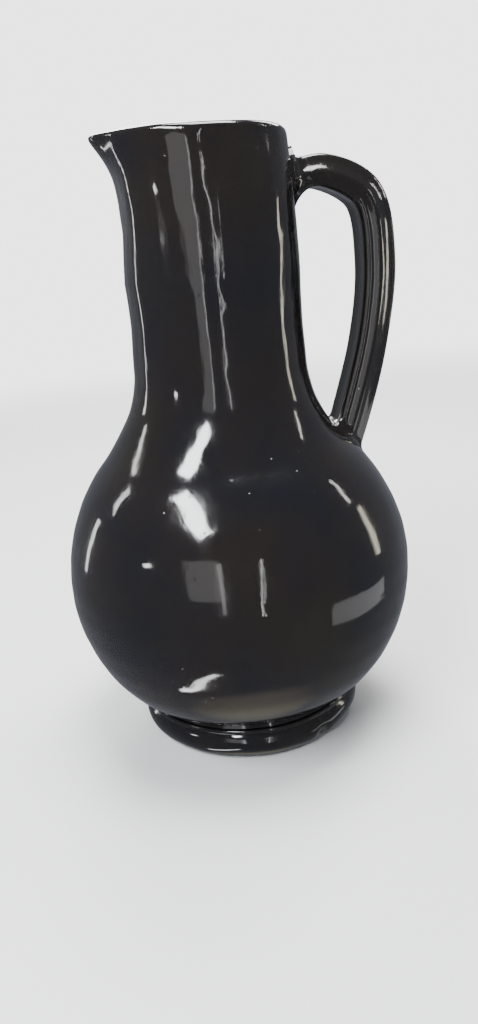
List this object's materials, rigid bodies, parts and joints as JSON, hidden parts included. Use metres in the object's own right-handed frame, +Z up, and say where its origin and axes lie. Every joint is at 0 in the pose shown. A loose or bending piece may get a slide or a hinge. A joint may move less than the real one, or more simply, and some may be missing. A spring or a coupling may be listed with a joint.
{
  "type": "clay pitcher",
  "caption": "Tall-necked black clay pitcher with a round belly, turned foot ring, pulled pouring lip and one strap handle.",
  "frame": {"origin": "centre of the foot ring's resting plane, on the pitcher's turning axis", "axes": "+Z up, +X towards the handle, -X towards the pouring lip"},
  "size_m": [0.1751, 0.1696, 0.28],
  "materials": {
    "black_clay": "near-black clay, burnished and fired to a hard gloss, with soft ripples from hand work",
    "fired_slip": "dark fired slip, matte"
  },
  "bodies": {
    "root": {"foot_ring": "black_clay", "foot_slip": "fired_slip", "belly_bowl": "black_clay", "belly_slip": "fired_slip", "belly_shoulder": "black_clay", "neck_slip": "fired_slip", "neck": "black_clay", "handle": "black_clay", "upper_handle_collar": "black_clay", "lower_handle_collar": "black_clay"}
  },
  "joints": []
}
